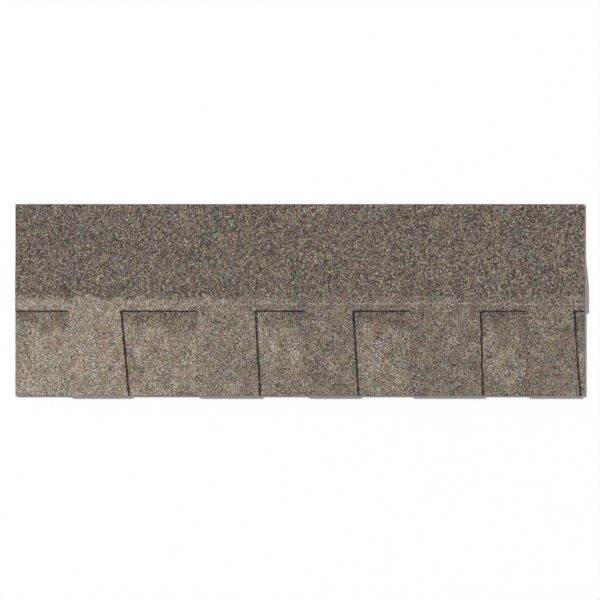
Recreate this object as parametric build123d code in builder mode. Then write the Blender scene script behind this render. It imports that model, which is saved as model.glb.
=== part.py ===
from build123d import *

from itertools import cycle
from math import atan, degrees, sin
import os

# One laminated asphalt roofing shingle, lying flat with its granules up.
# Sizes are in millimetres. X runs along the shingle, +Y points up the roof and +Z is up.
# The origin is under the middle of the shingle, on the surface that it lies on.

# The finished shingle
shingle_length = 1000.0
shingle_height = 337.0

# The top sheet, whose lower part is cut into teeth
overlay_thickness = 2.8
tooth_height = 150.0
root_radius = 3.0
tip_radius = 1.5

# Each tooth from the left end: the cut-out before it, its width at the root,
# and how far its left and right sides flare outwards down to the butt edge
teeth = (
    (94.5, 89.5, 2.0, 14.5),
    (137.0, 99.5, 3.0, 8.0),
    (89.5, 82.0, 1.0, 9.5),
    (104.5, 119.5, 4.0, 3.0),
    (82.0, 82.0, 2.0, 11.0),
)

# The strip laminated behind the teeth, and its overlap above the cut-outs
backing_thickness = 2.6
common_bond = 32.0

# The top sheet comes down off the backing to lie flat in the headlap
bend_clearance = 3.0
bend_run = 70.0

# Laminating adhesive, rolled flat between the two sheets
bead_thickness = 0.4
bead_width = 8.0
bead_end_inset = 9.0
tooth_bead_rows = 3
bond_bead_rows = 2

# Self-sealing dashes under the butt edge
sealant_thickness = 1.0
sealant_width = 12.0
sealant_setback = 10.0
sealant_edge_radius = 0.45
dash_length = 62.0
dash_gap = 18.0

# Release film pressed into the underside, near the top edge
film_thickness = 0.1
film_width = 32.0
film_edge_inset = 5.0

# Places worked out from the sizes above
left_end = -shingle_length / 2
right_end = shingle_length / 2
butt_y = -shingle_height / 2
top_y = shingle_height / 2
root_y = butt_y + tooth_height
backing_top_y = root_y + common_bond
bend_start_y = backing_top_y + bend_clearance
backing_underside = sealant_thickness
backing_face = backing_underside + backing_thickness
overlay_underside = backing_face + bead_thickness
bend_angle = 2 * atan(overlay_underside / bend_run)
bend_radius = bend_run / (2 * sin(bend_angle))
cut_depth = overlay_underside + 2 * overlay_thickness
same_place = 0.01


def tooth_sides():
    """Give each tooth's left and right X at its root and at the butt edge.

    The pattern repeats along the sheet for as long as a whole tooth fits.
    """
    sides = []
    x = left_end
    for cut_out, width, left_flare, right_flare in cycle(teeth):
        left = x + cut_out
        right = left + width
        if right + right_flare > right_end:
            return sides
        sides.append((left, right, left - left_flare, right + right_flare))
        x = right


def inner_corners(sketch, y):
    """Pick the sketch's corners at height y that lie inside the two ends."""
    at_height = sketch.vertices().filter_by_position(Axis.Y, y - same_place, y + same_place)
    return [corner for corner in at_height if abs(corner.X) < right_end - same_place]


def export_piece(piece, name):
    """Label a finished piece and write it to its own file."""
    piece.part.label = name
    export_step(piece.part, f"parts/{name}.step")


# Top sheet: one side profile carried along the shingle, cut to the outline of the teeth
with BuildPart() as overlay_sheet:
    with BuildSketch(Plane.YZ.offset(left_end)):
        with BuildLine():
            over_backing = Line((butt_y, overlay_underside), (bend_start_y, overlay_underside))
            bend_down = JernArc(over_backing @ 1, over_backing % 1, bend_radius, -degrees(bend_angle))
            bend_level = JernArc(bend_down @ 1, bend_down % 1, bend_radius, degrees(bend_angle))
            Line(bend_level @ 1, (top_y, 0))
            offset(amount=overlay_thickness, side=Side.LEFT)
        make_face()
    extrude(amount=shingle_length)

    with BuildSketch() as outline:
        with Locations((0, (root_y + top_y) / 2)):
            Rectangle(shingle_length, top_y - root_y)
        for root_left, root_right, butt_left, butt_right in tooth_sides():
            with BuildLine():
                Polyline(
                    (root_left, root_y),
                    (butt_left, butt_y),
                    (butt_right, butt_y),
                    (root_right, root_y),
                    close=True,
                )
            make_face()
        fillet(inner_corners(outline, root_y), radius=root_radius)
        fillet(inner_corners(outline, butt_y), radius=tip_radius)
    extrude(amount=cut_depth, mode=Mode.INTERSECT)

    # The seat of the release film
    with BuildSketch():
        with Locations((0, top_y - film_edge_inset - film_width / 2)):
            Rectangle(shingle_length, film_width)
    extrude(amount=film_thickness, mode=Mode.SUBTRACT)


# Backing strip: a plain strip behind the teeth, level with them at the butt edge
with BuildPart() as backing_strip:
    with BuildSketch(Plane.XY.offset(backing_underside)):
        with Locations((0, (butt_y + backing_top_y) / 2)):
            Rectangle(shingle_length, backing_top_y - butt_y)
    extrude(amount=backing_thickness)


# Laminating adhesive: short beads under every tooth, long ones along the common bond
with BuildPart() as laminating_adhesive:
    with BuildSketch(Plane.XY.offset(backing_face)):
        for root_left, root_right, butt_left, butt_right in tooth_sides():
            for row in range(tooth_bead_rows):
                up = (row + 0.5) / tooth_bead_rows
                left = butt_left + (root_left - butt_left) * up
                right = butt_right + (root_right - butt_right) * up
                with Locations(((left + right) / 2, butt_y + tooth_height * up)):
                    SlotOverall(right - left - 2 * bead_end_inset, bead_width)
        for row in range(bond_bead_rows):
            up = (row + 0.5) / bond_bead_rows
            with Locations((0, root_y + common_bond * up)):
                SlotOverall(shingle_length - 2 * bead_end_inset, bead_width)
    extrude(amount=bead_thickness)


# Sealant: a row of dashes with rounded lower edges, as many as the length takes
dash_pitch = dash_length + dash_gap
dash_count = int((shingle_length - dash_gap) // dash_pitch)
with BuildPart() as sealant_dashes:
    with BuildSketch():
        with Locations((0, butt_y + sealant_setback + sealant_width / 2)):
            with GridLocations(dash_pitch, sealant_width, dash_count, 1):
                SlotOverall(dash_length, sealant_width)
    extrude(amount=sealant_thickness)
    fillet(sealant_dashes.faces().filter_by(Axis.Z).group_by(Axis.Z)[0].edges(), sealant_edge_radius)


# Release film: one thin strip, flush with the underside that it is pressed into
with BuildPart() as release_film:
    with BuildSketch():
        with Locations((0, top_y - film_edge_inset - film_width / 2)):
            Rectangle(shingle_length, film_width)
    extrude(amount=film_thickness)


os.makedirs("parts", exist_ok=True)
export_piece(overlay_sheet, "overlay_sheet")
export_piece(backing_strip, "backing_strip")
export_piece(laminating_adhesive, "laminating_adhesive")
export_piece(sealant_dashes, "sealant_dashes")
export_piece(release_film, "release_film")
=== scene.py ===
"""Looks of one laminated asphalt roofing shingle, lying flat with its granules up.

Lengths are in millimetres and become metres only where a mesh is written. X runs along the
shingle, +Y points up the roof and +Z is up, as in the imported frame. Every random draw has a
seed of its own, so that a change to one piece leaves the others as they were.
"""

from math import radians, tau

import bpy
import numpy as np
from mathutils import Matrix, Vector


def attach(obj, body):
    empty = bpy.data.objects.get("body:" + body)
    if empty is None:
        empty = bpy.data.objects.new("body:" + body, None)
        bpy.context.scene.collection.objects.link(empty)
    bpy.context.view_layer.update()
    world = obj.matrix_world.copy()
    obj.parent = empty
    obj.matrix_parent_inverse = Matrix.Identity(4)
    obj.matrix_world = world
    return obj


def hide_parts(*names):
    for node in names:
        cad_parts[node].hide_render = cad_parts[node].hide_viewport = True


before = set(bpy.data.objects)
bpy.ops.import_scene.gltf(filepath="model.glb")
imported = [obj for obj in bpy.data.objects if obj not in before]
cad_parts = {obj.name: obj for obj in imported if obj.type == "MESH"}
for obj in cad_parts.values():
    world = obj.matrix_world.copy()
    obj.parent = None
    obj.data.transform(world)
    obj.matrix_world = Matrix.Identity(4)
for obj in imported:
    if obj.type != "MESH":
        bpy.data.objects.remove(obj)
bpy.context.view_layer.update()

mm_in_metre = 1000
# Points nearer together than this count as one place
same_place = 0.01

# Places taken from the CAD model
left_end, right_end = -500.0, 500.0
butt_y, root_y, backing_top_y, top_y = -168.5, -18.5, 13.5, 168.5
backing_low, backing_high = 1.0, 3.6
overlay_low, overlay_thickness = 4.0, 2.8
bend_start, bend_end = 16.5, 86.5
film_low_y, film_high_y, film_thickness = 131.5, 163.5, 0.1
tip_radius, root_radius = 1.5, 3.0
# Each tooth's left and right X at its root, then at the butt edge
teeth = (
    (-405.5, -316.0, -407.5, -301.5),
    (-179.0, -79.5, -182.0, -71.5),
    (10.0, 92.0, 9.0, 101.5),
    (196.5, 316.0, 192.5, 319.0),
    (398.0, 480.0, 396.0, 491.0),
)

# How far each of two waves takes a cut side of a tooth out of true
wander_reach = 0.22
# Cells of the top sheet's mesh across each tooth and each cut-out
cells_across = 14
# Rows of the top sheet's mesh lie this close together at an edge of the film's seat
film_step = 0.1

# The granule coat: how deep it stands on the asphalt, and the spacing of its grains. Real
# ones lie about 1 mm apart, and are drawn coarser so that they show.
coat_depth = 0.6
grain_spacing = 1.55
headlap_spacing = 2.35
# The least gap between two grains, in spacings, and how often each cell gets another try
least_gap, tries = 0.78, 12
# Above this height the coarser headlap granules take over
headlap_y = 6.0
# The painted line along the middle of the strip to be nailed, and how far its paint reaches
nail_line_y, paint_reach = -6.5, 1.5
# Grains are broken off up to this far in from a cut edge
broken_edge = 0.9
# The backing's granules run this far in under the teeth. Further in it has none, and its
# asphalt rises over slope_run to stand as high as they do.
lap_under, slope_run = 3.5, 1.0

# The shape of a grain
corner_stray = 0.3  # radians by which a corner strays round the grain
most_stretch = 0.45  # how much longer than wide a grain may be
radius_range = (0.5, 0.84)  # in spacings
corner_range = (0.75, 1.2)  # a corner's distance from the middle, in radii
top_taper = 0.86  # width of the top beside that of the foot
top_range = (0.75, 1.0)  # height of the top, in depths of the coat
top_slant = 0.3  # by which a corner of the top may lie lower
foot_sunk = 0.1  # by which the foot is set in the asphalt

overlay_body = "root"
palette_map = "OFBake"

# The grains' own colours, in the order in which they stand along the palette. Each has its
# shares in the paler blend, the darker blend, the shade band and the headlap, then how much
# oftener it falls in warm patches and in yellow ones.
grain_kinds = (
    ("#D0C9BF", 0.11, 0.06, 0.00, 0.01, -0.2, -0.4),  # quartz white
    ("#BCB3A7", 0.21, 0.14, 0.05, 0.06, -0.6, -0.6),  # pale grey
    ("#BDAB93", 0.23, 0.13, 0.06, 0.06, 0.7, 0.9),  # buff
    ("#9A947C", 0.14, 0.12, 0.12, 0.11, -0.2, 1.5),  # olive tan
    ("#A6856D", 0.07, 0.06, 0.05, 0.03, 1.6, 0.3),  # burnt orange
    ("#9C8278", 0.09, 0.11, 0.12, 0.09, 0.9, -1.5),  # dusty rose
    ("#645442", 0.05, 0.11, 0.21, 0.22, 0.3, 0.2),  # umber
    ("#433A30", 0.04, 0.16, 0.22, 0.17, -0.3, 0.0),  # charcoal
    ("#877E72", 0.04, 0.07, 0.12, 0.20, -0.8, -0.5),  # mid grey
    ("#7C847D", 0.02, 0.04, 0.05, 0.05, -1.5, -0.3),  # slate
)
paint_colour = "#BDB8AC"
palette_cells = len(grain_kinds) + 1
least_brightness, brightness_span = 0.5, 1.0
palette_spot = 0.012  # radius of the spot of the palette that one grain's faces cover
palette_spread = 0.25  # how far a spot may lie from the middle of its kind, in kinds
palette_margin = 0.03  # how far spots keep from the palette's lower and upper edge


def linear(hex_colour):
    """Turn an sRGB hex value into linear RGBA."""
    srgb = np.array([int(hex_colour[i : i + 2], 16) for i in (1, 3, 5)]) / 255
    rgb = np.where(srgb <= 0.04045, srgb / 12.92, ((srgb + 0.055) / 1.055) ** 2.4)
    return (*rgb.tolist(), 1.0)


def smooth_step(value, low, high):
    """0 below low, 1 above high, and a cubic ease between them."""
    t = np.clip((value - low) / (high - low), 0, 1)
    return t * t * (3 - 2 * t)


def clouds(x, y, size, seed):
    """Soft patches about size across: plane waves of random heading, length and phase, added."""
    rng = np.random.default_rng(seed)
    waves = 24
    # Wavelengths, in sizes
    shortest, longest = 1.2, 3.2
    heading = rng.uniform(0, tau, waves)
    number = tau / (size * rng.uniform(shortest, longest, waves))
    phase = rng.uniform(0, tau, waves)
    total = sum(
        np.cos(n * (x * np.cos(h) + y * np.sin(h)) + p)
        for h, n, p in zip(heading, number, phase)
    )
    return total * np.sqrt(2 / waves)


# The shapes


def wander(y, start):
    """How far a cut side that starts at X start wanders sideways at height y.

    One short and one long wave pattern, added.
    """
    start = np.full_like(y, start)
    short = clouds(y, start, size=6, seed=41)
    long = clouds(y, start, size=22, seed=42)
    return wander_reach * short + wander_reach * long


def tooth_sides(tooth, y):
    """Left and right X of a tooth at height y.

    A straight line from butt to root that wanders a little, drawn in by a quarter circle at
    the tip and let out by another at the root.
    """
    root_left, root_right, butt_left, butt_right = tooth
    up = np.clip((y - butt_y) / (root_y - butt_y), 0, 1)
    near_tip = np.clip(tip_radius - (y - butt_y), 0, tip_radius)
    near_root = np.clip(root_radius - (root_y - y), 0, root_radius)
    drawn_in = tip_radius - np.sqrt(tip_radius**2 - near_tip**2)
    let_out = root_radius - np.sqrt(root_radius**2 - near_root**2)
    left = butt_left + (root_left - butt_left) * up + drawn_in - let_out
    right = butt_right + (root_right - butt_right) * up - drawn_in + let_out
    return left + wander(y, root_left), right + wander(y, root_right)


def plain_sides(tooth, y):
    """Left and right X of a tooth at height y, without its rounded corners."""
    return tooth_sides(tooth, np.clip(y, butt_y + tip_radius, root_y - root_radius))


def bend(y):
    """Underside height and slope angle of the top sheet at y.

    Level over the backing, then down by one circular arc and level again by its mirror.
    """
    run, drop = bend_end - bend_start, overlay_low
    angle = 2 * np.arctan(drop / run)
    radius = run / (2 * np.sin(angle))
    along = np.clip(y - bend_start, 0, run)
    mirrored = np.where(along > run / 2, run - along, along)
    fallen = radius - np.sqrt(radius**2 - mirrored**2)
    slope = np.arcsin(mirrored / radius)
    return np.where(along > run / 2, fallen, overlay_low - fallen), slope


def on_sheet(y, height):
    """Y and Z of a point that stands square to the top sheet's underside at y, height above it."""
    low, slope = bend(y)
    return y + height * np.sin(slope), low + height * np.cos(slope)


def write_mesh(name, points, faces, replaced=()):
    """Make an object at the origin from points in millimetres and faces of one size."""
    mesh = bpy.data.meshes.new(name)
    faces = np.asarray(faces, np.int32)
    count, corners = faces.shape
    places = (np.asarray(points) / mm_in_metre).astype(np.float32)
    mesh.vertices.add(len(points))
    mesh.vertices.foreach_set("co", places.ravel())
    mesh.loops.add(faces.size)
    mesh.loops.foreach_set("vertex_index", faces.ravel())
    mesh.polygons.add(count)
    mesh.polygons.foreach_set("loop_start", np.arange(0, faces.size, corners, dtype=np.int32))
    mesh.update(calc_edges=True)
    mesh.shade_flat()
    piece = bpy.data.objects.new(name, mesh)
    bpy.context.collection.objects.link(piece)
    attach(piece, overlay_body)
    if replaced:
        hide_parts(*replaced)
    return piece


def closed_sheet(name, x, y_low, z_low, y_high, z_high, kept, replaced):
    """A sheet of two grids, one over the other, walled wherever a kept cell has no neighbour.

    The wall stands on each cell side that only one kept cell uses. The point attribute
    "depth" is 0 on the underside and 1 on the top.
    """
    rows, columns = x.shape
    number = np.arange(rows * columns).reshape(rows, columns)
    around = [number[:-1, :-1], number[:-1, 1:], number[1:, 1:], number[1:, :-1]]
    cells = np.stack(around, -1)[kept]
    start, end = cells, np.roll(cells, -1, axis=1)
    key, back = start * number.size + end, end * number.size + start
    alone = ~np.isin(key, back)
    a, b = start[alone], end[alone]
    faces = np.concatenate([
        cells + number.size,
        cells[:, ::-1],
        np.stack([a, b, b + number.size, a + number.size], -1),
    ])
    used, faces = np.unique(faces, return_inverse=True)
    low = np.stack([x, y_low, z_low], -1).reshape(-1, 3)
    high = np.stack([x, y_high, z_high], -1).reshape(-1, 3)
    points = np.concatenate([low, high])[used]
    piece = write_mesh(name, points, faces.reshape(-1, 4), replaced)
    depth = piece.data.attributes.new("depth", "FLOAT", "POINT")
    depth.data.foreach_set("value", (used >= number.size).astype(np.float32))
    return piece


def sheet_rows():
    """Heights of the top sheet's rows, close together in the teeth and at the film's edges."""
    # Up from the butt edge and down from the roots, as fine as the rounded corners need
    tip = butt_y + np.array([0, 0.1, 0.35, 0.8, 1.5])
    root = root_y - np.array([3, 2, 1.2, 0.5, 0.1, 0])
    in_teeth = np.linspace(butt_y + 4, root_y - 5, 60)
    beside = np.array([-film_step, 0.0])
    film_edges = np.concatenate([film_low_y + beside, film_high_y - beside[::-1]])
    above = np.concatenate([
        np.linspace(root_y + 4, bend_start, 7),
        np.linspace(bend_start + 5, bend_end, 14),
        np.linspace(bend_end + 8, film_low_y - 5, 5),
        np.linspace(film_low_y + 6, film_high_y - 6, 4),
        [top_y - 2, top_y],
    ])
    return np.sort(np.concatenate([tip, in_teeth, root, film_edges, above]))


def sheet_columns(y):
    """X of the sheet's columns at heights y, and which columns of cells belong to teeth.

    Each tooth's columns are spread evenly from its left to its right side, and those of the
    cut-outs between them run from one tooth to the next.
    """
    bounds = [np.full_like(y, left_end)]
    for tooth in teeth:
        bounds += tooth_sides(tooth, np.minimum(y, root_y))
    bounds.append(np.full_like(y, right_end))
    spread = np.linspace(0, 1, cells_across + 1)[1:]
    x = [bounds[0][:, None]]
    in_tooth = []
    for i, (a, b) in enumerate(zip(bounds, bounds[1:])):
        x.append(a[:, None] + (b - a)[:, None] * spread)
        in_tooth += [i % 2 == 1] * cells_across
    return np.concatenate(x, 1), np.array(in_tooth)


def top_sheet():
    """The top sheet's asphalt: teeth below the root line, a whole sheet above it."""
    y = sheet_rows()
    x, in_tooth = sheet_columns(y)
    y = np.repeat(y[:, None], x.shape[1], 1)
    in_seat = (y > film_low_y - film_step / 2) & (y < film_high_y + film_step / 2)
    y_low, z_low = on_sheet(y, film_thickness * in_seat)
    y_high, z_high = on_sheet(y, overlay_thickness - coat_depth)
    kept = (y[:-1, :-1] > root_y - same_place) | in_tooth
    return closed_sheet("top_sheet", x, y_low, z_low, y_high, z_high, kept,
                        ["overlay_sheet"])


def backing_sheet():
    """The backing's asphalt: a plain strip, raised under the teeth where it carries no coat."""
    edge = lap_under
    y = np.concatenate([
        [butt_y, butt_y + edge, butt_y + edge + slope_run],
        np.linspace(butt_y + 12, root_y - 3, 14),
        [root_y + edge - slope_run / 2, root_y + edge + slope_run / 2],
        [backing_top_y - same_place, backing_top_y],
    ])
    sides = [plain_sides(tooth, y) for tooth in teeth]
    columns = [np.full_like(y, left_end), np.full_like(y, left_end + edge)]
    for left, right in sides:
        inner = np.linspace(left + edge, right - edge, 9, axis=1)
        columns += [left + edge - slope_run, *inner.T, right - edge + slope_run]
    columns += [np.full_like(y, right_end - edge), np.full_like(y, right_end)]
    x = np.stack(columns, 1)
    y = np.repeat(y[:, None], x.shape[1], 1)
    covered = np.zeros(x.shape, bool)
    for left, right in sides:
        across = (x > left[:, None] + edge - same_place) & (x < right[:, None] - edge + same_place)
        covered |= across & (y > butt_y + edge + slope_run / 2)
    between_ends = (x > left_end + edge - same_place) & (x < right_end - edge + same_place)
    covered |= (y > root_y + edge) & (y < backing_top_y - same_place / 2) & between_ends
    high = np.where(covered, backing_high, backing_high - coat_depth)
    kept = np.ones((x.shape[0] - 1, x.shape[1] - 1), bool)
    return closed_sheet("backing_sheet", x, y, np.full_like(x, backing_low), y, high, kept,
                        ["backing_strip"])


# The granules


def grain_places(x_low, x_high, y_low, y_high, spacing, seed):
    """Places of grains strewn at random until there is hardly room for one more.

    The ground is cut into cells that are too small to hold two grains. Time after time a
    grain is dropped at random into every fifth cell of every fifth row, and it stays if the
    cell was empty and no grain of the 24 cells around lies nearer than the least gap.
    """
    rng = np.random.default_rng(seed)
    gap = least_gap * spacing
    cell = gap / np.sqrt(2)
    step, reach = 5, 2
    rows = int((y_high - y_low) / cell / step) + 1
    columns = int((x_high - x_low) / cell / step) + 1
    # Two empty cells on each side stand for the ground beyond, and empty is far away
    far_away = 1e9
    x = np.full((step * rows + 2 * reach, step * columns + 2 * reach), far_away)
    y = x.copy()
    near = [(j, i) for j in range(-reach, reach + 1) for i in range(-reach, reach + 1)]
    for phase in np.concatenate([rng.permutation(step**2) for _ in range(tries)]):
        j, i = reach + phase // step, reach + phase % step
        across, up = i + step * np.arange(columns), j + step * np.arange(rows)[:, None]
        drop_x = (across + rng.uniform(0, 1, (rows, columns))) * cell
        drop_y = (up + rng.uniform(0, 1, (rows, columns))) * cell
        free = np.ones((rows, columns), bool)
        for dj, di in near:
            there = np.s_[j + dj : j + dj + step * rows : step,
                          i + di : i + di + step * columns : step]
            free &= (drop_x - x[there]) ** 2 + (drop_y - y[there]) ** 2 > gap**2
        here = np.s_[j : j + step * rows : step, i : i + step * columns : step]
        x[here] = np.where(free, drop_x, x[here])
        y[here] = np.where(free, drop_y, y[here])
    x, y = x + x_low - reach * cell, y + y_low - reach * cell
    inside = (x > x_low) & (x < x_high) & (y > y_low) & (y < y_high)
    return x[inside], y[inside]


def grain_kind(shares, x, y, seed):
    """Pick each grain's kind by its shares, which lean to warm and to yellow kinds in patches."""
    rng = np.random.default_rng(seed)
    warm, yellow = np.array([kind[5:] for kind in grain_kinds]).T
    warmth = 0.4 * clouds(x, y, size=30, seed=31) + 0.55 * clouds(x, y, size=8, seed=33)
    yellowness = 0.6 * clouds(x, y, size=20, seed=34) + 0.72 * clouds(x, y, size=9, seed=32)
    lean = warmth[:, None] * warm + yellowness[:, None] * yellow
    total = np.cumsum(shares * np.exp(lean), 1)
    pick = rng.uniform(0, 1, len(x)) * total[:, -1]
    return (total < pick[:, None]).sum(1)


def blend(darkness):
    """Shares of the kinds for grains whose blend goes from the paler to the darker one."""
    pale, dark = np.array([kind[1:3] for kind in grain_kinds]).T
    part = np.clip(darkness, 0, 1)[:, None]
    return pale * (1 - part) + dark * part


def granules(name, x, y, height_of, spacing, kind, brightness, clamp, seed):
    """Crushed-stone grains as one mesh of triangular antiprisms.

    Each grain has a low and a high triangle, turned by 60 degrees against each other, so its
    six corners stand round it by turns low and high. It is drawn out along a heading of its
    own, and clamp draws its corners back from a cut edge. All faces of a grain lie on one
    spot of the palette.
    """
    rng = np.random.default_rng(seed)
    count = len(x)
    corner = np.arange(6)
    is_top = corner % 2 == 1
    turn = corner * tau / 6
    angle = rng.uniform(0, tau, count)[:, None] + turn
    angle = angle + rng.uniform(-corner_stray, corner_stray, (count, 6))
    stretch = rng.uniform(0, most_stretch, count)[:, None]
    size = spacing * rng.uniform(*radius_range, count)[:, None] / (1 + 0.5 * stretch)
    reach = size * rng.uniform(*corner_range, (count, 6)) * np.where(is_top, top_taper, 1.0)
    dx, dy = reach * np.cos(angle), reach * np.sin(angle)
    heading = rng.uniform(0, tau, count)[:, None]
    longer = stretch * (dx * np.cos(heading) + dy * np.sin(heading))
    px = x[:, None] + dx + longer * np.cos(heading)
    py = y[:, None] + dy + longer * np.sin(heading)
    px, py = clamp(px, py, x[:, None], y[:, None])
    top = rng.uniform(*top_range, count)[:, None] - rng.uniform(0, top_slant, (count, 6))
    rise = coat_depth * np.where(is_top, top, -foot_sunk)
    py, pz = height_of(py, rise)
    points = np.stack([px, py, pz], -1).reshape(-1, 3)

    # The top, the foot, and the six sides between them
    sides = [(k, (k + 1) % 6, (k + 2) % 6) for k in range(6)]
    sides = [side if is_top[side[0]] else (side[0], side[2], side[1]) for side in sides]
    faces_of_one = np.array([(1, 3, 5), (0, 4, 2), *sides])
    faces = (faces_of_one + 6 * np.arange(count)[:, None, None]).reshape(-1, 3)
    piece = write_mesh(name, points, faces)

    u = (kind + 0.5 + rng.uniform(-palette_spread, palette_spread, count)) / palette_cells
    v = (brightness - least_brightness) / brightness_span
    v = np.clip(v, palette_margin, 1 - palette_margin)
    uv = np.stack([
        u[:, None] + palette_spot * np.cos(turn),
        v[:, None] + palette_spot * np.sin(turn),
    ], -1)
    layer = piece.data.uv_layers.new(name=palette_map)
    layer.data.foreach_set("uv", uv[:, faces_of_one.ravel()].astype(np.float32).ravel())
    return piece


def over_top_sheet(y, rise):
    """Granules on the top sheet stand on its asphalt."""
    return on_sheet(y, overlay_thickness - coat_depth + rise)


def over_backing(y, rise):
    """Granules on the backing stand on its flat face."""
    return y, backing_high - coat_depth + rise


def top_sheet_tone(x, y):
    """How dark the top sheet's blend is: pale at the left end, dark from the middle on."""
    pale_until, dark_from = -440, 120
    large = 0.08 * clouds(x, y, size=60, seed=11)
    small = 0.15 * clouds(x, y, size=16, seed=12)
    return smooth_step(x, pale_until, dark_from) + large + small


def backing_tone(x, y):
    """How dark the backing's blend is: pale at the left, darkening ever more slowly rightwards."""
    darkest = 0.75
    rest = (right_end - x) / (right_end - left_end)
    large = 0.14 * clouds(x, y, size=60, seed=21)
    small = 0.19 * clouds(x, y, size=16, seed=22)
    return darkest * (1 - rest**2) + large + small


def grain_brightness(x, y, darkness, seed):
    """Each grain's own brightness: less in the darker blend, with small clumps of like grains."""
    rng = np.random.default_rng(seed)
    palest, dimmed = 1.02, 0.26
    clumps = 0.06 * clouds(x, y, size=3.5, seed=seed + 1) + 0.19 * rng.standard_normal(len(x))
    return (palest - dimmed * np.clip(darkness, -0.5, 1.5)) * (1 + clumps)


def broken(x, y):
    """How far a grain at x, y is broken off from a cut edge, by turns nothing and a lot."""
    return broken_edge * np.clip(0.3 + 0.4 * clouds(x, y, size=2.5, seed=71), 0, 1)


def keep_in_tooth(tooth):
    """Draw grain corners back from a tooth's cut edge."""
    def clamp(px, py, x, y):
        back = broken(x, y)
        py = np.maximum(py, butt_y + back)
        left, right = tooth_sides(tooth, np.minimum(py, root_y))
        return np.clip(px, left + back, right - back), py
    return clamp


def keep_in_sheet(px, py, x, y):
    """Draw grain corners back from the sheet's ends, top edge and the roots of the cut-outs."""
    back = broken(x, y)
    in_tooth = np.zeros(x.shape, bool)
    for tooth in teeth:
        left, right = tooth_sides(tooth, np.float64(root_y))
        in_tooth |= (x > left) & (x < right)
    py = np.where(in_tooth, py, np.maximum(py, root_y + back))
    return np.clip(px, left_end + back, right_end - back), np.minimum(py, top_y - back)


def keep_on_backing(px, py, x, y):
    """Draw grain corners back from the backing's ends and edges."""
    back = broken(x, y)
    px = np.clip(px, left_end + back, right_end - back)
    return px, np.clip(py, butt_y + back, backing_top_y - back)


def tooth_granules(number, tooth):
    """Granules of one tooth, cut clean at its sides and at the butt edge."""
    widest_left = min(tooth[0], tooth[2]) - root_radius
    widest_right = max(tooth[1], tooth[3]) + root_radius
    x, y = grain_places(widest_left, widest_right, butt_y, root_y, grain_spacing, 100 + number)
    left, right = tooth_sides(tooth, y)
    inside = (x > left) & (x < right)
    x, y = x[inside], y[inside]
    tone = top_sheet_tone(x, y)
    kind = grain_kind(blend(tone), x, y, 110 + number)
    brightness = grain_brightness(x, y, tone, 120 + number)
    return granules(f"tooth_granules_{number}", x, y, over_top_sheet, grain_spacing, kind,
                    brightness, keep_in_tooth(tooth), 130 + number)


def headlap_share(x, y):
    """How much of the mix is headlap granules: from none to all over a ragged narrow edge."""
    below, above = 7, 3
    ragged = y + 2.5 * clouds(x, y, size=22, seed=61) + 1.5 * clouds(x, y, size=5, seed=62)
    return smooth_step(ragged, headlap_y - below, headlap_y + above)


def upper_mix(x, y, seed):
    """Kinds and brightness of the grains above the cut-outs, with the nail line painted on."""
    rng = np.random.default_rng(seed)
    tone = top_sheet_tone(x, y)
    covered = headlap_share(x, y)
    headlap_tone = 1.1
    headlap = np.array([kind[4] for kind in grain_kinds])
    shares = blend(tone) * (1 - covered[:, None]) + headlap * covered[:, None]
    kind = grain_kind(shares, x, y, seed + 1)
    brightness = grain_brightness(x, y, tone * (1 - covered) + headlap_tone * covered, seed + 2)
    # The line is thickest in its middle, runs a little out of true, and is thin in places
    off = y - nail_line_y - 0.4 * clouds(x, np.zeros_like(y), size=120, seed=63)
    cover = np.exp(-(off / paint_reach) ** 2) * (0.6 + 0.2 * clouds(x, y, size=14, seed=64))
    painted = rng.uniform(0, 1, len(x)) < cover
    kind = np.where(painted, len(grain_kinds), kind)
    brightness = np.where(painted, rng.uniform(0.7, 1.0, len(x)), brightness)
    return kind, brightness


def common_bond_granules():
    """Granules of the band between the roots of the cut-outs and the headlap."""
    x, y = grain_places(left_end, right_end, root_y, headlap_y, grain_spacing, 200)
    kind, brightness = upper_mix(x, y, 210)
    return granules("common_bond_granules", x, y, over_top_sheet, grain_spacing, kind,
                    brightness, keep_in_sheet, 203)


def headlap_granules(name, x_low, x_high, seed):
    """Coarser, duller granules of the headlap, which the next course covers."""
    x, y = grain_places(x_low, x_high, headlap_y, top_y, headlap_spacing, seed)
    kind, brightness = upper_mix(x, y, seed + 1)
    return granules(name, x, y, over_top_sheet, headlap_spacing, kind, brightness,
                    keep_in_sheet, seed + 5)


def shade_band(x, y):
    """How much a grain belongs to the dark band in the upper part of the cut-outs.

    It comes in over 30 mm, along an edge that large and small patches make ragged.
    """
    strongest = 0.9
    ragged = y + 5 * clouds(x, y, size=22, seed=51) + 3 * clouds(x, y, size=7, seed=52)
    return strongest * smooth_step(ragged, root_y - 44, root_y - 14)


def cut_out_granules(number, x_low, x_high):
    """Granules of the backing where it shows between two teeth, with the shade band on top."""
    x, y = grain_places(x_low, x_high, butt_y, root_y + lap_under, grain_spacing, 300 + number)
    keep = np.ones(len(x), bool)
    for tooth in teeth:
        left, right = plain_sides(tooth, y)
        across = (x > left + lap_under) & (x < right - lap_under)
        keep &= ~(across & (y > butt_y + lap_under))
    x, y = x[keep], y[keep]
    tone, band = backing_tone(x, y), shade_band(x, y)
    shade_dimmed = 0.18
    shade = np.array([kind[3] for kind in grain_kinds])
    shares = blend(tone) * (1 - band[:, None]) + shade * band[:, None]
    kind = grain_kind(shares, x, y, 310 + number)
    brightness = grain_brightness(x, y, tone, 320 + number)
    brightness = brightness * (1 - shade_dimmed * band * np.clip(tone, 0, 1))
    return granules(f"cut_out_granules_{number}", x, y, over_backing, grain_spacing, kind,
                    brightness, keep_on_backing, 330 + number)


# The materials


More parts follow.
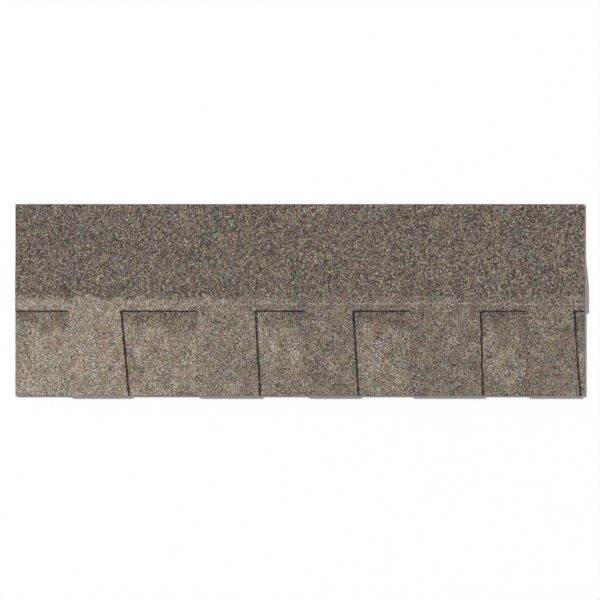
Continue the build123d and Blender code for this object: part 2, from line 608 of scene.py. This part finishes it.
def add_node(tree, kind, inputs=(), **properties):
    """Add a node with its properties, then link or set each of the inputs that are given."""
    node = tree.nodes.new(kind)
    for key, value in properties.items():
        setattr(node, key, value)
    for key, value in dict(inputs).items():
        if isinstance(value, bpy.types.NodeSocket):
            tree.links.new(value, node.inputs[key])
        else:
            node.inputs[key].default_value = value
    return node


def new_material(name):
    """A material with nothing in its node tree yet."""
    material = bpy.data.materials.new(name)
    material.use_nodes = True
    material.node_tree.nodes.clear()
    return material, material.node_tree


def surface(tree, inputs):
    """Put one Principled shader with these inputs on the tree's output."""
    shader = add_node(tree, "ShaderNodeBsdfPrincipled", inputs)
    add_node(tree, "ShaderNodeOutputMaterial", {"Surface": shader.outputs["BSDF"]})


def set_ramp(ramp, stops):
    """Give a colour ramp its stops, each a position and a hex colour, and give its colour."""
    elements = ramp.color_ramp.elements
    while len(elements) > 1:
        elements.remove(elements[0])
    elements[0].position, elements[0].color = stops[0][0], linear(stops[0][1])
    for position, colour in stops[1:]:
        elements.new(position).color = linear(colour)
    return ramp.outputs["Color"]


def object_place(tree, stretch=(1, 1, 1)):
    """Object coordinates, in metres, stretched along the axes."""
    place = add_node(tree, "ShaderNodeTexCoord").outputs["Object"]
    mapping = add_node(tree, "ShaderNodeMapping", {"Vector": place, "Scale": stretch})
    return mapping.outputs["Vector"]


def ceramic_granule():
    """Crushed basalt under a baked ceramic coat: matte, each grain in its own earthy colour.

    The palette has the kinds' colours along U, and a grain's brightness and shine along V.
    Pale and quartz grains glint a little more than dark ones, and all are finely pitted.
    """
    material, tree = new_material("ceramic coated granules")
    place = add_node(tree, "ShaderNodeUVMap", uv_map=palette_map).outputs["UV"]
    axes = add_node(tree, "ShaderNodeSeparateXYZ", {"Vector": place})
    colours = [kind[0] for kind in grain_kinds] + [paint_colour]
    stops = [((i + 0.5) / palette_cells, colour) for i, colour in enumerate(colours)]
    ramp = add_node(tree, "ShaderNodeValToRGB", {"Fac": axes.outputs["X"]})
    level = add_node(tree, "ShaderNodeMapRange", {
        "Value": axes.outputs["Y"],
        "To Min": least_brightness,
        "To Max": least_brightness + brightness_span,
    })
    lit = add_node(tree, "ShaderNodeVectorMath",
                   {0: set_ramp(ramp, stops), "Scale": level.outputs["Result"]},
                   operation="SCALE")
    shine = add_node(tree, "ShaderNodeMapRange",
                     {"Value": axes.outputs["Y"], "To Min": 0.9, "To Max": 0.55})
    # Pits of about 0.3 mm
    pits = add_node(tree, "ShaderNodeTexNoise", {
        "Vector": object_place(tree), "Scale": 3000.0, "Detail": 2.0, "Roughness": 0.6,
    })
    relief = add_node(tree, "ShaderNodeBump", {
        "Height": pits.outputs["Fac"], "Strength": 0.6, "Distance": 0.00015,
    })
    surface(tree, {
        "Base Color": lit.outputs["Vector"],
        "Roughness": shine.outputs["Result"],
        "IOR": 1.5,
        "Normal": relief.outputs["Normal"],
    })
    return material


def strewn_sand(tree, place):
    """Colour of sanded asphalt, and where a grain of sand lies on it, from 0 to 1.

    Each cell of a cell pattern holds a round grain if the cell's own random number is below
    a level that soft patches raise and lower. A second random number gives its colour.
    """
    # Sand is 0.4 mm across and drawn in cells of 1 mm, so that it shows
    cells = add_node(tree, "ShaderNodeTexVoronoi", {"Vector": place, "Scale": 1000.0})
    lot = add_node(tree, "ShaderNodeSeparateColor", {"Color": cells.outputs["Color"]})
    # Patches about 90 mm long and a quarter as wide, from the coating line
    patch = add_node(tree, "ShaderNodeTexNoise", {
        "Vector": object_place(tree, (1, 4, 4)), "Scale": 11.0, "Detail": 8.0, "Roughness": 0.75,
    })
    level = add_node(tree, "ShaderNodeMapRange", {
        "Value": patch.outputs["Fac"],
        "From Min": 0.3, "From Max": 0.7, "To Min": 0.3, "To Max": 0.9,
    })
    held = add_node(tree, "ShaderNodeMath",
                    {0: lot.outputs["Red"], 1: level.outputs["Result"]}, operation="LESS_THAN")
    dot = add_node(tree, "ShaderNodeMapRange", {
        "Value": cells.outputs["Distance"], "From Min": 0.5, "From Max": 0.36,
    })
    grain = add_node(tree, "ShaderNodeMath",
                     {0: held.outputs["Value"], 1: dot.outputs["Result"]}, operation="MULTIPLY")
    sand = add_node(tree, "ShaderNodeValToRGB", {"Fac": lot.outputs["Green"]})
    ground = add_node(tree, "ShaderNodeValToRGB", {"Fac": patch.outputs["Fac"]})
    colour = add_node(tree, "ShaderNodeMix", {
        "Factor": grain.outputs["Value"],
        6: set_ramp(ground, [(0.36, "#262421"), (0.64, "#36332F")]),
        7: set_ramp(sand, [(0.0, "#35322E"), (0.6, "#4D4942"), (0.9, "#69645A"),
                           (1.0, "#857E71")]),
    }, data_type="RGBA")
    return colour.outputs[2], grain.outputs["Value"]


def cut_asphalt(tree, depth, pits):
    """Colour of the cut edge by depth: black, with the glass mat as a pale uneven line."""
    layer = add_node(tree, "ShaderNodeMath", {0: pits, 1: 0.3, 2: depth},
                     operation="MULTIPLY_ADD")
    ramp = add_node(tree, "ShaderNodeValToRGB", {"Fac": layer.outputs["Value"]})
    return set_ramp(ramp, [(0.1, "#24211F"), (0.56, "#181614"), (0.62, "#666158"),
                           (0.68, "#666158"), (0.74, "#181614"), (1.0, "#24211F")])


def asphalt_sheet():
    """Filled asphalt on a glass mat, black and pitted where cut, with the mat as a pale line.

    The underside is dusted with sand, so that it looks like worn dark grey sandpaper, with
    more sand in soft patches drawn out along the coating line.
    """
    material, tree = new_material("filled asphalt on glass mat")
    place = object_place(tree)
    depth = add_node(tree, "ShaderNodeAttribute", attribute_name="depth").outputs["Fac"]
    # Pits of about 1.5 mm
    pits = add_node(tree, "ShaderNodeTexNoise", {
        "Vector": place, "Scale": 700.0, "Detail": 3.0, "Roughness": 0.6,
    }).outputs["Fac"]
    sanded, grain = strewn_sand(tree, place)
    under = add_node(tree, "ShaderNodeMath", {0: depth, 1: 0.02}, operation="LESS_THAN")
    colour = add_node(tree, "ShaderNodeMix", {
        "Factor": under.outputs["Value"], 6: cut_asphalt(tree, depth, pits), 7: sanded,
    }, data_type="RGBA")
    height = add_node(tree, "ShaderNodeMath", {0: grain, 1: pits}, operation="ADD")
    relief = add_node(tree, "ShaderNodeBump", {
        "Height": height.outputs["Value"], "Strength": 0.7, "Distance": 0.0003,
    })
    shine = add_node(tree, "ShaderNodeMapRange", {"Value": grain, "To Min": 0.6, "To Max": 0.95})
    surface(tree, {
        "Base Color": colour.outputs[2],
        "Roughness": shine.outputs["Result"],
        "IOR": 1.5,
        "Normal": relief.outputs["Normal"],
    })
    return material


def asphalt_sealant():
    """Polymer-modified asphalt dashes: black and glossy, with the soft swell of a hot bead."""
    material, tree = new_material("polymer modified asphalt sealant")
    # Swells about 7 mm long and half as wide
    swell = add_node(tree, "ShaderNodeTexNoise", {
        "Vector": object_place(tree, (1, 2, 1)), "Scale": 140.0, "Detail": 2.0,
    }).outputs["Fac"]
    tint = add_node(tree, "ShaderNodeValToRGB", {"Fac": swell})
    relief = add_node(tree, "ShaderNodeBump",
                      {"Height": swell, "Strength": 0.7, "Distance": 0.0008})
    shine = add_node(tree, "ShaderNodeMapRange", {"Value": swell, "To Min": 0.22, "To Max": 0.5})
    surface(tree, {
        "Base Color": set_ramp(tint, [(0.35, "#141210"), (0.7, "#2A2622")]),
        "Roughness": shine.outputs["Result"],
        "IOR": 1.5,
        "Normal": relief.outputs["Normal"],
    })
    return material


def laminating_asphalt():
    """Laminating asphalt, rolled flat between the sheets: dull black, seen only at the edges."""
    material, tree = new_material("laminating asphalt")
    # Smears about 5 mm long and a third as wide
    smear = add_node(tree, "ShaderNodeTexNoise", {
        "Vector": object_place(tree, (1, 3, 1)), "Scale": 200.0, "Detail": 2.0,
    }).outputs["Fac"]
    tint = add_node(tree, "ShaderNodeValToRGB", {"Fac": smear})
    relief = add_node(tree, "ShaderNodeBump",
                      {"Height": smear, "Strength": 0.5, "Distance": 0.0003})
    surface(tree, {
        "Base Color": set_ramp(tint, [(0.3, "#100F0E"), (0.7, "#1F1C19")]),
        "Roughness": 0.55,
        "IOR": 1.5,
        "Normal": relief.outputs["Normal"],
    })
    return material


def polyester_film():
    """Clear polyester tape pressed on black asphalt: smooth and glossy, faintly milky, puckered."""
    material, tree = new_material("silicone coated polyester film")
    # Puckers about 55 mm long and a fifth as wide
    pucker = add_node(tree, "ShaderNodeTexNoise", {
        "Vector": object_place(tree, (1, 5, 1)), "Scale": 18.0, "Detail": 4.0,
    }).outputs["Fac"]
    tint = add_node(tree, "ShaderNodeValToRGB", {"Fac": pucker})
    relief = add_node(tree, "ShaderNodeBump",
                      {"Height": pucker, "Strength": 0.35, "Distance": 0.001})
    surface(tree, {
        "Base Color": set_ramp(tint, [(0.3, "#434444"), (0.7, "#58595A")]),
        "Roughness": 0.15,
        "IOR": 1.6,
        "Normal": relief.outputs["Normal"],
    })
    return material


# Putting it together

granule = ceramic_granule()
asphalt = asphalt_sheet()

for piece in (top_sheet(), backing_sheet()):
    piece.data.materials.append(asphalt)

coats = [tooth_granules(i + 1, tooth) for i, tooth in enumerate(teeth)]
coats.append(common_bond_granules())
coats.append(headlap_granules("headlap_granules_left", left_end, 0.0, 400))
coats.append(headlap_granules("headlap_granules_right", 0.0, right_end, 410))
# The backing's granules are in pieces that meet under the middles of the teeth
middles = [(tooth[0] + tooth[1]) / 2 for tooth in teeth]
cut_outs = zip([left_end, *middles], [*middles, right_end])
coats += [cut_out_granules(i + 1, a, b) for i, (a, b) in enumerate(cut_outs)]
for piece in coats:
    piece.data.materials.append(granule)

node_materials = {
    "sealant_dashes": asphalt_sealant(),
    "laminating_adhesive": laminating_asphalt(),
    "release_film": polyester_film(),
}
for name, material in node_materials.items():
    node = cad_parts[name]
    node.data.materials.clear()
    node.data.materials.append(material)


# The floor, the light and the camera

# The sun comes from the upper left, and is wide enough to soften its shadows
sun_heading = Vector((0.75, -0.5, -0.58))
sun_strength, sun_width = 4.2, radians(5)
fill_strength = 0.2
# The floor reaches far beyond every view, a hair below the shingle so that no two faces
# share a plane. With this much added where it is seen directly, it comes out white.
floor_half, floor_level, floor_lift = 60.0, -0.0002, 0.12
# The camera hangs above the middle, and its frame is this many metres wide on the shingle
frame_width, lens_mm, film_mm = 1.055, 120.0, 36.0
# It sees to the far side of the floor
sight = 200


def seen_directly(tree):
    """1 for the camera's rays and for those by way of gloss or a clear piece, 0 for others."""
    ray = add_node(tree, "ShaderNodeLightPath")
    seen = add_node(tree, "ShaderNodeMath",
                    {0: ray.outputs["Is Camera Ray"], 1: ray.outputs["Is Glossy Ray"]},
                    operation="MAXIMUM")
    seen = add_node(tree, "ShaderNodeMath",
                    {0: seen.outputs["Value"], 1: ray.outputs["Is Transmission Ray"]},
                    operation="MAXIMUM")
    return seen.outputs["Value"]


def studio_floor():
    """A plain pale floor that keeps the shingle's shadow and otherwise looks white."""
    mesh = bpy.data.meshes.new("studio_floor")
    corners = [(-floor_half, -floor_half), (floor_half, -floor_half),
               (floor_half, floor_half), (-floor_half, floor_half)]
    mesh.from_pydata([(x, y, floor_level) for x, y in corners], [], [(0, 1, 2, 3)])
    floor = bpy.data.objects.new("studio_floor", mesh)
    bpy.context.collection.objects.link(floor)
    material, tree = new_material("floor paint")
    lift = add_node(tree, "ShaderNodeMath", {0: seen_directly(tree), 1: floor_lift},
                    operation="MULTIPLY")
    surface(tree, {
        "Base Color": linear("#F8F8F8"),
        "Roughness": 0.9,
        "IOR": 1.5,
        "Emission Color": (1, 1, 1, 1),
        "Emission Strength": lift.outputs["Value"],
    })
    mesh.materials.append(material)


def soft_sun():
    """The soft key light, a sun from the upper left."""
    sun = bpy.data.lights.new("soft_key", "SUN")
    sun.energy, sun.angle = sun_strength, sun_width
    lamp = bpy.data.objects.new("soft_key", sun)
    lamp.rotation_mode = "QUATERNION"
    lamp.rotation_quaternion = sun_heading.to_track_quat("-Z", "Y")
    bpy.context.collection.objects.link(lamp)


def even_fill():
    """An even fill from all round, which shows as white where it is seen directly."""
    world = bpy.data.worlds.new("studio_fill")
    bpy.context.scene.world = world
    world.use_nodes = True
    tree = world.node_tree
    tree.nodes.clear()
    fill = add_node(tree, "ShaderNodeBackground",
                    {"Color": (1, 1, 1, 1), "Strength": fill_strength})
    white = add_node(tree, "ShaderNodeBackground", {"Color": (1, 1, 1, 1), "Strength": 1.0})
    both = add_node(tree, "ShaderNodeMixShader", {
        0: seen_directly(tree),
        1: fill.outputs["Background"],
        2: white.outputs["Background"],
    })
    add_node(tree, "ShaderNodeOutputWorld", {"Surface": both.outputs["Shader"]})


def front_camera():
    """A long lens straight above the shingle, as the photo looks square at the laid courses."""
    lens = bpy.data.cameras.new("front_view")
    lens.lens, lens.sensor_width, lens.clip_end = lens_mm, film_mm, sight
    camera = bpy.data.objects.new("front_view", lens)
    camera.location = (0, 0, frame_width / film_mm * lens_mm)
    bpy.context.collection.objects.link(camera)
    bpy.context.scene.camera = camera
    bpy.context.scene.view_settings.view_transform = "Standard"


studio_floor()
soft_sun()
even_fill()
front_camera()
